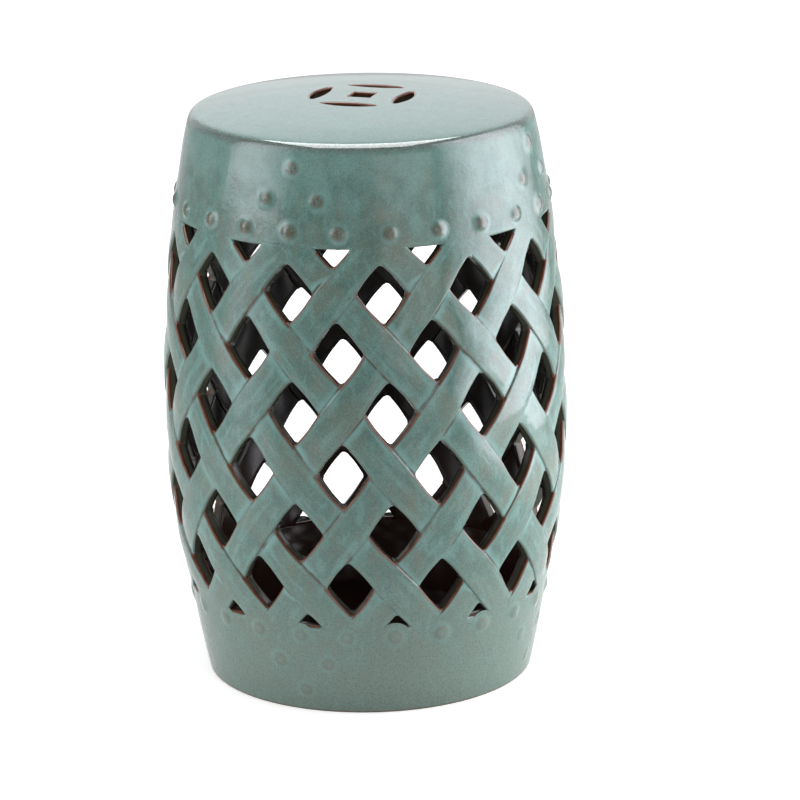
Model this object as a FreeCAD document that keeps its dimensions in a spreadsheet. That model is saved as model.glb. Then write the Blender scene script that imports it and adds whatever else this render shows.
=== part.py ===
import FreeCAD, Part
import Sketcher
import math
import os
from FreeCAD import Placement, Rotation, Vector

# Barrel-shaped ceramic garden stool with a crowned, pierced seat, a woven open lattice
# between two solid bands, and rings of nail-head bosses. Millimetres, +Z up. The origin is
# the middle of the foot ring on the ground, and -Y is the front.

DRIVING_SIZES = (
    ("lower_band_height", 74.0, "ground to the lower edge of the lattice"),
    ("lattice_height", 297.5, "height of the open lattice"),
    ("upper_band_height", 67.3, "upper edge of the lattice to the seat joint"),
    ("shoulder_height", 10.8, "seat joint to the inner end of the rounded rim"),
    ("crown_height", 7.6, "rise of the seat from its rim to its middle"),
    ("crown_level_radius", 50.0, "level middle of the seat"),
    ("foot_radius", 127.4, "outside radius on the ground"),
    ("lattice_foot_radius", 141.7, "outside radius at the lower edge of the lattice"),
    ("lattice_top_radius", 146.4, "outside radius at the upper edge of the lattice"),
    ("seat_joint_radius", 134.3, "outside radius where the seat sits on the upper band"),
    ("shoulder_width", 12.5, "how far the rounded rim runs in from the seat joint"),
    ("rim_fold_height", 7.6, "seat joint to the fold half way round the rim"),
    ("rim_fold_width", 4.0, "how far that fold lies in from the seat joint"),
    ("lattice_bow", 13.6, "swell of the belly over its chord"),
    ("wall", 9.0, "clay wall, measured level"),
    ("seat_thickness", 9.0, "seat slab"),
    ("foot_ring_width", 9.4, "tread of the foot ring"),
    ("floor_height", 20.0, "ground to the top of the inner floor"),
    ("floor_thickness", 11.0, "inner floor slab"),
    ("vent_radius", 25.0, "firing vent in the inner floor"),
    ("strips_each_way", 13, "lattice strips leaning each way"),
    ("strip_width", 26.0, "lattice strip across its run, at the belly"),
    ("first_row_drop", 34.6, "upper edge of the lattice to its first full row of openings"),
    ("row_pitch", 46.4, "rise from one row of openings to the next"),
    ("row_drift", 0.59, "degrees that each lower row is turned on, over half a spacing"),
    ("lattice_turn", 4.85, "degrees from the front to an opening of the first row"),
    ("weave_relief", 1.1, "rise of a strip where it passes over, and its dip where under"),
    ("boss_diameter", 14.0, "nail head across"),
    ("boss_face", 8.0, "flat top of a nail head"),
    ("boss_height", 3.0, "nail head proud of the wall"),
    ("boss_edge", 1.0, "upright edge of a nail head"),
    ("boss_sides", 8, "flats round a nail head"),
    ("bosses_per_ring", 24, "nail heads in each ring"),
    ("boss_turn", 7.75, "degrees from the front to the nearest nail head"),
    ("upper_ring_rise", 11.7, "upper edge of the lattice to the upper ring"),
    ("lower_ring_drop", 8.5, "lower edge of the lattice down to the lower ring"),
    ("clusters", 4, "groups of three extra nail heads round each band"),
    ("cluster_bosses_on", 2, "places along the ring from the front nail head to a cluster"),
    ("cluster_step", 23.5, "rise from the ring to the pair, and from the pair to the tip"),
    ("cluster_spread", 8.4, "degrees from the middle of a cluster to each of its pair"),
    ("coin_turn", -19.0, "degrees that the coin cut-out is turned"),
    ("coin_square", 17.0, "side of the square hole"),
    ("slot_distance", 33.0, "middle of the coin to a slot"),
    ("slot_length", 43.0, "petal slot from point to point"),
    ("slot_outer_bow", 5.5, "swell of the slot's outer edge"),
    ("slot_inner_bow", 3.5, "swell of the slot's inner edge"),
)

doc = FreeCAD.newDocument("garden_stool")
sizes = doc.addObject("Spreadsheet::Sheet", "sizes")
for row, (name, size, meaning) in enumerate(DRIVING_SIZES, start=1):
    sizes.set("A%d" % row, name)
    sizes.set("B%d" % row, str(size))
    sizes.set("C%d" % row, meaning)
    sizes.setAlias("B%d" % row, name)
doc.recompute()

UP = Vector(0, 0, 1)
CENTRE = Vector(0, 0, 0)

# Heights above the ground, worked out from the stacked pieces.
LATTICE_TOP = "(sizes.lower_band_height + sizes.lattice_height)"
SEAT_JOINT = "(%s + sizes.upper_band_height)" % LATTICE_TOP
RIM_HEIGHT = "(%s + sizes.shoulder_height)" % SEAT_JOINT
TOTAL_HEIGHT = "(%s + sizes.crown_height)" % RIM_HEIGHT
RIM_RADIUS = "(sizes.seat_joint_radius - sizes.shoulder_width)"
FLOOR_RADIUS = "(sizes.foot_radius - sizes.foot_ring_width)"


def value(expression):
    """Number that an expression on the sheet stands for."""
    found = sizes.evalExpression(expression)
    return float(getattr(found, "Value", found))


# Sketch helpers

def new_body(name):
    """Empty body whose label names its file."""
    body = doc.addObject("PartDesign::Body", name)
    body.Label = name
    return body


def new_sketch(body, name, plane_role):
    """Sketch on one of the body's own origin planes."""
    sketch = body.newObject("Sketcher::SketchObject", name)
    plane = [part for part in body.Origin.OriginFeatures if part.Role == plane_role][0]
    sketch.AttachmentSupport = [(plane, "")]
    sketch.MapMode = "FlatFace"
    return sketch


def bow_radius(start, end, bow):
    """Expression for the radius of an arc that stands bow proud of its chord."""
    chord_squared = "((%s - %s)^2 + (%s - %s)^2)" % (start[0], end[0], start[1], end[1])
    return "%s / (8 * %s) + %s / 2" % (chord_squared, bow, bow)


def bowed_middle(start, end, bow):
    """Middle point of an arc that swells by bow to the right of the run from start to end."""
    run = end - start
    right = Vector(run.y, -run.x, 0)
    right.normalize()
    return (start + end) * 0.5 + right * bow


def tie_size(sketch, constraint, expression):
    """Add a constraint and bind it to an expression on the sheet."""
    number = sketch.addConstraint(constraint)
    sketch.setExpression("Constraints[%d]" % number, expression)


def tie_point(sketch, side, corner, place):
    """Tie a corner of the sketch to a pair of expressions measured from the origin."""
    for kind, axis, expression in (("DistanceX", -2, place[0]), ("DistanceY", -1, place[1])):
        amount = value(expression)
        if expression == "0":
            sketch.addConstraint(Sketcher.Constraint("PointOnObject", side, corner, axis))
        else:
            tie_size(sketch, Sketcher.Constraint(kind, -1, 1, side, corner, amount), expression)


def closed_outline(sketch, places, bows):
    """Closed outline through places, which are pairs of expressions. An entry of bows makes
    the side that starts at that place an arc: +1 swells to the right of its run, -1 left."""
    points = [Vector(value(x), value(y), 0) for x, y in places]
    sides = []
    for index, start in enumerate(points):
        end = points[(index + 1) % len(points)]
        if index in bows:
            bow, hand = bows[index]
            middle = bowed_middle(start, end, hand * value(bow))
            side = sketch.addGeometry(Part.Arc(start, middle, end))
        else:
            side = sketch.addGeometry(Part.LineSegment(start, end))
        first = 1 if sketch.getPoint(side, 1).distanceToPoint(start) < 1e-6 else 2
        sides.append((side, first, 3 - first))
    for index, (side, first, last) in enumerate(sides):
        after = sides[(index + 1) % len(sides)]
        sketch.addConstraint(Sketcher.Constraint("Coincident", side, last, after[0], after[1]))
        tie_point(sketch, side, first, places[index])
    for index, (bow, hand) in bows.items():
        rule = bow_radius(places[index], places[(index + 1) % len(places)], bow)
        tie_size(sketch, Sketcher.Constraint("Radius", sides[index][0], value(rule)), rule)


def turned(body, places):
    """Body of revolution about Z from a straight-sided outline of radius and height."""
    sketch = new_sketch(body, body.Name + "_profile", "XZ_Plane")
    closed_outline(sketch, places, {})
    turn = body.newObject("PartDesign::Revolution", body.Name + "_turned")
    turn.Profile = sketch
    turn.ReferenceAxis = (sketch, ["V_Axis"])
    turn.Angle = 360
    doc.recompute()
    return turn


def cut_through(body, sketch, name):
    """Pocket from the sketch upward through the body, checked to have cut something."""
    before = body.Shape.Volume
    pocket = body.newObject("PartDesign::Pocket", name)
    pocket.Profile = sketch
    pocket.Type = "ThroughAll"
    pocket.Reversed = True
    doc.recompute()
    if body.Shape.Volume > before - 1:
        raise RuntimeError(name + " cut nothing")
    return pocket


# Solid bands, seat and floor

lower_band = new_body("lower_band")
turned(
    lower_band,
    (
        (FLOOR_RADIUS, "0"),
        ("sizes.foot_radius", "0"),
        ("sizes.lattice_foot_radius", "sizes.lower_band_height"),
        ("(sizes.lattice_foot_radius - sizes.wall)", "sizes.lower_band_height"),
        (FLOOR_RADIUS, "sizes.floor_height"),
    ),
)

upper_band = new_body("upper_band")
turned(
    upper_band,
    (
        ("(sizes.lattice_top_radius - sizes.wall)", LATTICE_TOP),
        ("sizes.lattice_top_radius", LATTICE_TOP),
        ("sizes.seat_joint_radius", SEAT_JOINT),
        ("(sizes.seat_joint_radius - sizes.wall)", SEAT_JOINT),
    ),
)

# The seat's crown is a level middle, which holds the coin cut-out, in a shallow cone.

seat_plate = new_body("seat_plate")
SEAT_UNDERSIDE = "(%s - sizes.seat_thickness)" % TOTAL_HEIGHT
RIM_FOLD_RADIUS = "(sizes.seat_joint_radius - sizes.rim_fold_width)"
turned(
    seat_plate,
    (
        ("(sizes.seat_joint_radius - sizes.wall)", SEAT_JOINT),
        ("sizes.seat_joint_radius", SEAT_JOINT),
        (RIM_FOLD_RADIUS, "(%s + sizes.rim_fold_height)" % SEAT_JOINT),
        (RIM_RADIUS, RIM_HEIGHT),
        ("sizes.crown_level_radius", TOTAL_HEIGHT),
        ("0", TOTAL_HEIGHT),
        ("0", SEAT_UNDERSIDE),
        ("sizes.crown_level_radius", SEAT_UNDERSIDE),
        ("(%s - sizes.wall)" % RIM_RADIUS, "(%s - sizes.seat_thickness)" % RIM_HEIGHT),
    ),
)

# Coin cut-out of the seat: a square hole inside a ring of four petal slots.

HALF_SQUARE = "sizes.coin_square / 2"
square_sketch = new_sketch(seat_plate, "coin_square_outline", "XY_Plane")
closed_outline(
    square_sketch,
    (
        (HALF_SQUARE, HALF_SQUARE),
        ("-" + HALF_SQUARE, HALF_SQUARE),
        ("-" + HALF_SQUARE, "-" + HALF_SQUARE),
        (HALF_SQUARE, "-" + HALF_SQUARE),
    ),
    {},
)
square_sketch.AttachmentOffset = Placement(CENTRE, Rotation(UP, 1))
square_sketch.setExpression("AttachmentOffset.Rotation.Angle", "sizes.coin_turn")
cut_through(seat_plate, square_sketch, "coin_square_hole")

HALF_SLOT = "sizes.slot_length / 2"
slot_sketch = new_sketch(seat_plate, "coin_slot_outline", "XY_Plane")
closed_outline(
    slot_sketch,
    (("-" + HALF_SLOT, "-sizes.slot_distance"), (HALF_SLOT, "-sizes.slot_distance")),
    {0: ("sizes.slot_outer_bow", 1), 1: ("sizes.slot_inner_bow", 1)},
)
slot_sketch.AttachmentOffset = Placement(CENTRE, Rotation(UP, 1))
slot_sketch.setExpression("AttachmentOffset.Rotation.Angle", "sizes.coin_turn")
slot = cut_through(seat_plate, slot_sketch, "coin_slot")
slots = seat_plate.newObject("PartDesign::PolarPattern", "coin_slots")
slots.Originals = [slot]
slots.Axis = (slot_sketch, ["N_Axis"])
slots.Angle = 360
slots.Occurrences = 4
seat_plate.Tip = slots
doc.recompute()

floor_plate = new_body("floor_plate")
FLOOR_UNDERSIDE = "(sizes.floor_height - sizes.floor_thickness)"
turned(
    floor_plate,
    (
        ("sizes.vent_radius", FLOOR_UNDERSIDE),
        (FLOOR_RADIUS, FLOOR_UNDERSIDE),
        (FLOOR_RADIUS, "sizes.floor_height"),
        ("sizes.vent_radius", "sizes.floor_height"),
    ),
)

# Woven lattice. Each strip is a chain of short flats that winds up the wall, folded at every
# crossing. Where two strips cross, the one on top keeps the outer part
# of the wall and the other keeps the inner part, and they meet on a flat like a halved
# joint. Which family is on top changes from one row of openings to the next.

lattice_foot = value("sizes.lower_band_height")
lattice_top = value(LATTICE_TOP)
wall = value("sizes.wall")
row_pitch = value("sizes.row_pitch")
half_spacing = 180 / value("sizes.strips_each_way")
first_row = lattice_top - value("sizes.first_row_drop")
SPARE = 6.0
NEAREST_FOLD = 9.0


def arc_centre(start, end, bow):
    """Centre and radius of the arc that swells by bow to the right of its run."""
    circle = Part.Arc(start, bowed_middle(start, end, bow), end).toShape().Curve
    return circle.Center, circle.Radius


BELLY_CENTRE, BELLY_ARC = arc_centre(
    Vector(value("sizes.lattice_foot_radius"), lattice_foot, 0),
    Vector(value("sizes.lattice_top_radius"), lattice_top, 0),
    value("sizes.lattice_bow"),
)


def belly_radius(height):
    """Outside radius of the lattice wall at a height."""
    return BELLY_CENTRE.x + math.sqrt(BELLY_ARC ** 2 - (height - BELLY_CENTRE.y) ** 2)


def row_height(row):
    """Height of the middle of a row of openings. Row 1 is the first full one."""
    return first_row - (row - 1) * row_pitch


def at_turn(radius, turn, height):
    """Point at a radius and height, turned from the front towards +X."""
    angle = math.radians(turn)
    return Vector(radius * math.sin(angle), -radius * math.cos(angle), height)


def strip_turn(hand, height):
    """Angle of the first strip of a family at a height. hand is +1 for strips that move to
    the right as they rise, -1 for the others."""
    rows_down = (first_row - height) / row_pitch
    turn_for_each_row = -hand * half_spacing + value("sizes.row_drift")
    return value("sizes.lattice_turn") + half_spacing + turn_for_each_row * rows_down


rows = [0]
while row_height(rows[-1] + 1) > lattice_foot - row_pitch / 2:
    rows.append(rows[-1] + 1)

widest = belly_radius(min(max(BELLY_CENTRE.y, lattice_foot), lattice_top))
lean = math.atan2(math.radians(half_spacing) * widest, row_pitch)
half_strip = math.degrees(value("sizes.strip_width") / 2 / math.cos(lean) / widest)


def is_on_top(hand, row):
    """Whether a family passes over the other on a row."""
    return (row % 2 == 1) == (hand == 1)


def folds(hand):
    """Heights where a strip is folded, with its rise over the plain wall at each."""
    found = [(lattice_foot, 0.0)]
    for row in reversed(rows):
        rise = value("sizes.weave_relief") * (1 if is_on_top(hand, row) else -1)
        if lattice_foot + NEAREST_FOLD < row_height(row) < lattice_top - NEAREST_FOLD:
            found.append((row_height(row), rise))
    return found + [(lattice_top, 0.0)]


def flat(*corners):
    """Flat face through its corners."""
    return Part.Face(Part.makePolygon(list(corners) + [corners[0]]))


def twisted(low_a, low_b, high_b, high_a):
    """Two flat triangles between a lower and an upper line, folded along low_b to high_a."""
    return [flat(low_a, low_b, high_a), flat(low_b, high_b, high_a)]


def strip_blank(hand, shift, spare):
    """Whole strip before it is lapped. spare makes it stand proud of both sides of the wall,
    as the tool that laps the other family."""
    sections = []
    for height, rise in folds(hand):
        turn = strip_turn(hand, height) + shift
        outer = belly_radius(height) + rise
        inner = belly_radius(height) - wall
        levels = [inner - spare, inner, outer, outer + spare] if spare else [inner, outer]
        left = [at_turn(level, turn - half_strip, height) for level in levels]
        right = [at_turn(level, turn + half_strip, height) for level in levels]
        sections.append((left, right))
    faces = []
    for (left, right), (left_up, right_up) in zip(sections, sections[1:]):
        for level in range(len(left) - 1):
            faces += twisted(left[level], left[level + 1], left_up[level + 1], left_up[level])
            faces += twisted(right[level], right[level + 1], right_up[level + 1], right_up[level])
        near, far, near_up, far_up = left, right, left_up, right_up
        if hand == -1:
            near, far, near_up, far_up = right, left, right_up, left_up
        for level in (0, -1):
            faces += twisted(near[level], far[level], far_up[level], near_up[level])
    for left, right in (sections[0], sections[-1]):
        faces.append(flat(*left, *reversed(right)))
    solid = Part.Solid(Part.makeShell(faces))
    solid.fix(0.001, 0.001, 0.001)
    return solid


def side_of_lap(turn, height, outer_side):
    """Block that lies on the outer or the inner side of the flat of a crossing."""
    level = height - BELLY_CENTRE.y
    tilt = math.degrees(math.asin(level / BELLY_ARC))
    depth = 4 * wall
    breadth = 2 * row_pitch
    block = Part.makeBox(depth, breadth, breadth)
    start = -wall / 2 if outer_side else -wall / 2 - depth
    block.translate(Vector(start, -breadth / 2, -breadth / 2))
    block.rotate(CENTRE, Vector(0, 1, 0), -tilt)
    block.translate(Vector(belly_radius(height), 0, height))
    block.rotate(CENTRE, UP, turn - 90)
    return block


def lattice_strip(hand):
    """First strip of a family, lapped at every crossing."""
    laps = []
    for row in rows:
        height = row_height(row)
        turn = strip_turn(hand, height)
        other = strip_blank(-hand, turn - strip_turn(-hand, height), SPARE)
        laps.append(other.common(side_of_lap(turn, height, not is_on_top(hand, row))))
    return strip_blank(hand, 0, 0).cut(laps)


strips = []
for family, hand in (("rising_right", 1), ("rising_left", -1)):
    first_strip = lattice_strip(hand)
    for index in range(int(value("sizes.strips_each_way"))):
        name = "strip_%s_%02d" % (family, index + 1)
        strip = doc.addObject("Part::Feature", name)
        strip.Label = name
        strip.Shape = first_strip.copy()
        strip.Placement = Placement(CENTRE, Rotation(UP, 1))
        turn = "360 / sizes.strips_each_way * %d" % index
        strip.setExpression("Placement.Rotation.Angle", turn)
        strips.append(strip)

# Nail-head bosses: low studs luted on the bands, in a ring beside the lattice, with groups
# of three more that step away from it.

LOWER_SIDE = (("sizes.foot_radius", "0"), ("sizes.lattice_foot_radius", "sizes.lower_band_height"))
UPPER_SIDE = (("sizes.lattice_top_radius", LATTICE_TOP), ("sizes.seat_joint_radius", SEAT_JOINT))

nail_head = new_body("nail_head")
stud = nail_head.newObject("PartDesign::AdditivePrism", "stud")
stud.setExpression("Polygon", "sizes.boss_sides")
stud.setExpression("Circumradius", "sizes.boss_diameter / 2")
stud.setExpression("Height", "sizes.boss_height")
doc.recompute()
top_edges = []
for number, edge in enumerate(stud.Shape.Edges, start=1):
    if edge.BoundBox.ZMin > value("sizes.boss_height") - 0.001:
        top_edges.append("Edge%d" % number)
dome = nail_head.newObject("PartDesign::Chamfer", "dome")
dome.Base = (stud, top_edges)
dome.ChamferType = "Two distances"
dome.setExpression("Size", "sizes.boss_height - sizes.boss_edge")
dome.setExpression("Size2", "(sizes.boss_diameter - sizes.boss_face) / 2")
doc.recompute()


def boss_group(name, band_side, heights_and_turns):
    """One node of separate bosses on the sloping side of a band, each at a height and
    turned from the front."""
    (low_radius, low), (high_radius, high) = [(value(x), value(y)) for x, y in band_side]
    slope = (high_radius - low_radius) / (high - low)
    square_to_side = Rotation(Vector(0, 1, 0), 90 + math.degrees(math.atan(slope)))
    placed = []
    for height, turn in heights_and_turns:
        head = nail_head.Shape.copy()
        foot = Vector(low_radius + slope * (height - low), 0, height)
        head.Placement = Placement(foot, square_to_side)
        head.rotate(CENTRE, UP, turn - 90)
        placed.append(head)
    group = doc.addObject("Part::Feature", name)
    group.Label = name
    group.Shape = Part.Compound(placed)
    return group


def ring_places(height):
    """Places of one full ring of bosses."""
    count = int(value("sizes.bosses_per_ring"))
    first = value("sizes.boss_turn")
    return [(height, first + 360 / count * index) for index in range(count)]


def cluster_places(ring_height, away):
    """Places of the three extra bosses of each cluster. away is +1 up or -1 down."""
    step = away * value("sizes.cluster_step")
    spread = value("sizes.cluster_spread")
    count = int(value("sizes.clusters"))
    ring_spacing = 360 / value("sizes.bosses_per_ring")
    first = value("sizes.boss_turn") - ring_spacing * value("sizes.cluster_bosses_on")
    places = []
    for index in range(count):
        middle = first + 360 / count * index
        places.append((ring_height + step, middle - spread))
        places.append((ring_height + step, middle + spread))
        places.append((ring_height + 2 * step, middle))
    return places


upper_ring = lattice_top + value("sizes.upper_ring_rise")
lower_ring = lattice_foot - value("sizes.lower_ring_drop")
boss_groups = [
    boss_group("upper_ring_bosses", UPPER_SIDE, ring_places(upper_ring)),
    boss_group("upper_cluster_bosses", UPPER_SIDE, cluster_places(upper_ring, 1)),
    boss_group("lower_ring_bosses", LOWER_SIDE, ring_places(lower_ring)),
    boss_group("lower_cluster_bosses", LOWER_SIDE, cluster_places(lower_ring, -1)),
]

# Check every object, then write each piece to its own file.

doc.recompute()
for item in doc.Objects:
    if "Invalid" in item.State or "Error" in item.State:
        raise RuntimeError(item.Name + " failed to build")

os.makedirs("parts", exist_ok=True)
pieces = [seat_plate, upper_band, lower_band, floor_plate] + strips + boss_groups
for piece in pieces:
    if piece.Shape.isNull() or not piece.Shape.isValid():
        raise RuntimeError(piece.Label + " has no valid shape")
    piece.Shape.exportStep("parts/%s.step" % piece.Label)
    print(piece.Label, len(piece.Shape.Solids), round(piece.Shape.Volume), sep="  ")
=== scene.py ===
import math
import bmesh
import bpy
import numpy as np
from mathutils import Matrix, Vector


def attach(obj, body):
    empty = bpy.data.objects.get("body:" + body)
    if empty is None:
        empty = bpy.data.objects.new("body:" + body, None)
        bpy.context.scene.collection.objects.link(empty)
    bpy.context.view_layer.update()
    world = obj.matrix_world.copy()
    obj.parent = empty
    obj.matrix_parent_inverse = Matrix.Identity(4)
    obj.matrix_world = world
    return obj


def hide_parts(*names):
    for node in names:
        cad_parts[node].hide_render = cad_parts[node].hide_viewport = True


# Barrel garden stool in a celadon glaze that breaks rust-brown on every edge. Shapes are worked
# out in millimetres on the wall of the barrel, and go into the meshes in metres. A turn is in
# degrees from the front towards +X, and a lift is in mm along the wall's outward normal.

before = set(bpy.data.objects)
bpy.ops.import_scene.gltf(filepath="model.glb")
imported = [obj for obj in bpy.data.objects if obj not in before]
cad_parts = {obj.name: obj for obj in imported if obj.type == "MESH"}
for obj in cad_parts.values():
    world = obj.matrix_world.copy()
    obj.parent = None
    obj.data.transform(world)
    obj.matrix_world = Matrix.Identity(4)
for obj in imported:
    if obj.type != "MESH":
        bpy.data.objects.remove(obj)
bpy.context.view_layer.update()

MM = 0.001
SHARP_ANGLE = 55
TURNED_SIDES = 360

# Traced outline of the wall
WALL_HEIGHTS = np.array([0, 37, 74.5, 113, 157, 222, 290, 336, 371, 405, 428, 438.8])
WALL_RADII = np.array(
    [127.4, 135.0, 141.7, 149.3, 154.5, 156.3, 153.9, 150.0, 146.4, 140.7, 136.7, 134.3]
)
LATTICE_FOOT = 74.0
LATTICE_TOP = 371.5
SEAT_JOINT = 438.8
WALL = 9.0
TREAD_EDGE = 0.8

# Weave, with rows of openings counted down. Row 0 is the triangles under the upper band, and
# each row has its traced height and the degrees that it strays from an even drift.
STRIPS = 13
SPACING = 360 / STRIPS
ROWS = np.arange(-1, 9)
ROW_LEVELS = np.array([424.0, 379.8, 338.2, 292.8, 246.6, 198.2, 150.6, 106.2, 61.5, 16.0])
ROW_TURNS = np.array([0.2, 0.2, 0.35, 0.7, 0.95, 0.3, 0.1, 0.4, 0.3, 0.3])
ROW_DRIFT = 0.59
FIRST_CROSSING = 4.85 + SPACING / 2

# Strips. The width, waist and corners are shares of the distance between two strips, and
# STRIP_SCALE is that distance in mm. They are wider by LOW_SHARE in the lowest rows.
STRIP_SHARE = 0.456
LOW_SHARE = 0.032
LOW_LEVELS = (110, 185)
STRIP_WAIST = 0.028
STRIP_SCALE = 59.5
STRIP_CROWN = 0.50
CORNER_SIDE = 0.045
CORNER_TOP = 0.068
CORNER_FOOT = 0.048
WEAVE_RELIEF = 0.95
LEAST_STRENGTH = 0.85
STRENGTH_SPREAD = 0.20
INNER_RELIEF = 0.6
EDGE_ROUND = 2.0
INNER_ROUND = 1.2

# Where a strip meets a band, in mm from the band's edge: its relief dies away inside the
# lattice, and beyond the edge its faces sink into the wall by SINK_OUTER and SINK_INNER.
JOIN_FOOT = (0, 16)
JOIN_TOP = (12, 38)
SINK_FROM = (1.5, 8)
SINK_OUTER = 0.7
SINK_INNER = 0.4
SEAM_FADE = (6, 26)

# Crossings along a strip, and the stations between two of them, which are close together where
# the corners of the openings turn
CROSSINGS = np.arange(-7, 2)
HALF_STATIONS = np.array([
    0, 0.06, 0.12, 0.17, 0.205, 0.222, 0.2285, 0.232, 0.236, 0.241, 0.247, 0.254, 0.264, 0.278,
    0.295, 0.32, 0.36, 0.405, 0.455, 0.5,
])

# Marks that the glaze reads from the meshes, in mm. "edge" is the distance from the rim of an
# opening, falls from 0 to CUT_END down a cut, and is INNER on inner faces. "hollow" and "ledge"
# are the distances from a seam, on the strip that dips and on the strip that rises. "cut" is 1
# on cuts and inner faces.
FAR_EDGE = 12.0
CUT_END = -6.0
INNER = -9.0
FAR_SEAM = 20.0

# Seat, with its coin cut-out: each petal slot has the swell of its two sides, and where their
# middles lie below the middle of the coin.
RIM_RADIUS = 122.5
RIM_HEIGHT = 449.4
CROWN_TOP = 457.15
CROWN_POWER = 2.5
SEAT_THICKNESS = 9.0
ROLL_RADII = np.array([118.0, 121.4, 124.3, 126.8, 129.0, 130.8, 132.2, 133.2, 133.9, 134.3])
ROLL_HEIGHTS = np.array([
    450.08, 449.56, 449.05, 448.5, 447.7, 446.45, 444.6, 442.4, 440.5, SEAT_JOINT,
])
COIN_TURN = -19.0
COIN_MIDDLE = (1.2, 3.6)
COIN_REACH = 105.0
SLOT_LENGTH = 43.0
SLOT_OUTER = (5.5, -39.5)
SLOT_INNER = (3.5, -28.9)
SQUARE_HALF = 8.5
HOLE_ROUND = 1.6
PLATE_RADIUS = 60.0
PLATE_TIP = 30.0
ARC_COUNT = 72
OUT_COUNT = 9
IN_COUNT = 14
SQUARE_COUNT = 16

# Inner floor
FLOOR_RADIUS = 118.0
FLOOR_TOP = 20.0
FLOOR_UNDER = 9.0
VENT_RADIUS = 25.0

# Nail-head bosses, whose rings of points are in mm from the middle
BOSSES_PER_RING = 24
BOSS_TURN = 7.75
BOSS_RINGS = np.array([0.6, 1.6, 2.8, 4.0, 5.0, 5.8, 6.5, 7.3, 8.3, 9.6, 11.5])
BOSS_SIDES = 30
BOSS_WIDTH = 5.9
BOSS_POWER = 2.8
BOSS_SIZE = (0.90, 0.16)
BOSS_RISE = (2.3, 0.5)
BOSS_TUCK = 0.05
BOSS_ROOT = 3.0
CLUSTERS = 4
CLUSTER_TURN = -22.25
CLUSTER_SPREAD = 8.4
CLUSTER_STEP = 23.5
UPPER_RING = 383.2
LOWER_RING = 65.5


def smooth(low, high, x):
    """Step from 0 at low to 1 at high with level ends: the cubic 3t^2 - 2t^3."""
    t = np.clip((x - low) / (high - low), 0, 1)
    return t * t * (3 - 2 * t)


def chance(*counts):
    """Repeatable number from 0 to 1 for some counts: the broken part of a large sine."""
    mix = sum(count * weight for count, weight in zip(counts, (12.9898, 78.233, 37.719)))
    return np.abs(np.sin(mix) * 43758.5453) % 1


def traced(x, places, values):
    """Cubic through traced values, whose slope at each place is that of the chords beside it."""
    slopes = np.gradient(values, places)
    low = np.clip(np.searchsorted(places, x) - 1, 0, len(places) - 2)
    span = places[low + 1] - places[low]
    t = (x - places[low]) / span
    return (
        (2 * t**3 - 3 * t**2 + 1) * values[low]
        + (3 * t**2 - 2 * t**3) * values[low + 1]
        + (t**3 - 2 * t**2 + t) * span * slopes[low]
        + (t**3 - t**2) * span * slopes[low + 1]
    )


def wall_radius(height):
    """Outside radius of the wall at a height."""
    return traced(height, WALL_HEIGHTS, WALL_RADII)


def on_wall(turn, height, lift):
    """Points at a turn and height on the wall, moved by lift along its outward normal, which
    leans by the slope of the outline."""
    slope = wall_radius(height + 0.5) - wall_radius(height - 0.5)
    length = np.sqrt(1 + slope**2)
    radius = wall_radius(height) + lift / length
    angle = np.radians(turn)
    return np.stack(
        [radius * np.sin(angle), -radius * np.cos(angle), height - lift * slope / length], axis=-1
    )


# Mesh making

def grid_faces(rows, columns, first=0):
    """Quads of a grid of points numbered row by row from first, each row closed round."""
    row = np.arange(rows - 1)[:, None]
    column = np.arange(columns)[None, :]
    on = (column + 1) % columns
    corners = np.broadcast_arrays(
        row * columns + column, row * columns + on,
        (row + 1) * columns + on, (row + 1) * columns + column,
    )
    return np.stack(corners, axis=-1).reshape(-1, 4) + first


def end_fans(rows, columns):
    """Triangles that close the first and last rows of a grid onto two more points, which follow
    the grid's own."""
    ring = np.arange(columns)
    on = (ring + 1) % columns
    last = (rows - 1) * columns
    size = rows * columns
    return [
        np.stack([on, ring, np.full(columns, size)], axis=1),
        np.stack([last + ring, last + on, np.full(columns, size + 1)], axis=1),
    ]


def mesh_piece(name, points, faces, marks, merge=0.0):
    """Smooth mesh object from points in mm and a list of face arrays. marks holds a number
    for each point by name, kept as attributes. Doubles closer than merge mm are joined. Faces
    are turned outwards: the volume that they enclose, summed from the origin, is made positive."""
    mesh = bpy.data.meshes.new(name)
    corner_points = np.concatenate([block.ravel() for block in faces]).astype(np.int32)
    sizes = np.concatenate([np.full(len(block), block.shape[1]) for block in faces])
    mesh.vertices.add(len(points))
    mesh.vertices.foreach_set("co", (points * MM).astype(np.float32).ravel())
    mesh.loops.add(len(corner_points))
    mesh.loops.foreach_set("vertex_index", corner_points)
    mesh.polygons.add(len(sizes))
    starts = np.concatenate([[0], np.cumsum(sizes)[:-1]])
    mesh.polygons.foreach_set("loop_start", starts.astype(np.int32))
    mesh.update(calc_edges=True)
    for mark, numbers in marks.items():
        layer = mesh.attributes.new(mark, "FLOAT", "POINT")
        layer.data.foreach_set("value", np.asarray(numbers, np.float32).ravel())
    work = bmesh.new()
    work.from_mesh(mesh)
    if merge:
        bmesh.ops.remove_doubles(work, verts=work.verts, dist=merge * MM)
        bmesh.ops.recalc_face_normals(work, faces=work.faces)
    if work.calc_volume(signed=True) < 0:
        bmesh.ops.reverse_faces(work, faces=work.faces)
    work.to_mesh(mesh)
    work.free()
    mesh.polygons.foreach_set("use_smooth", np.ones(len(mesh.polygons), bool))
    mesh.set_sharp_from_angle(angle=math.radians(SHARP_ANGLE))
    mesh.update()
    piece = bpy.data.objects.new(name, mesh)
    bpy.context.scene.collection.objects.link(piece)
    return piece


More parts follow.
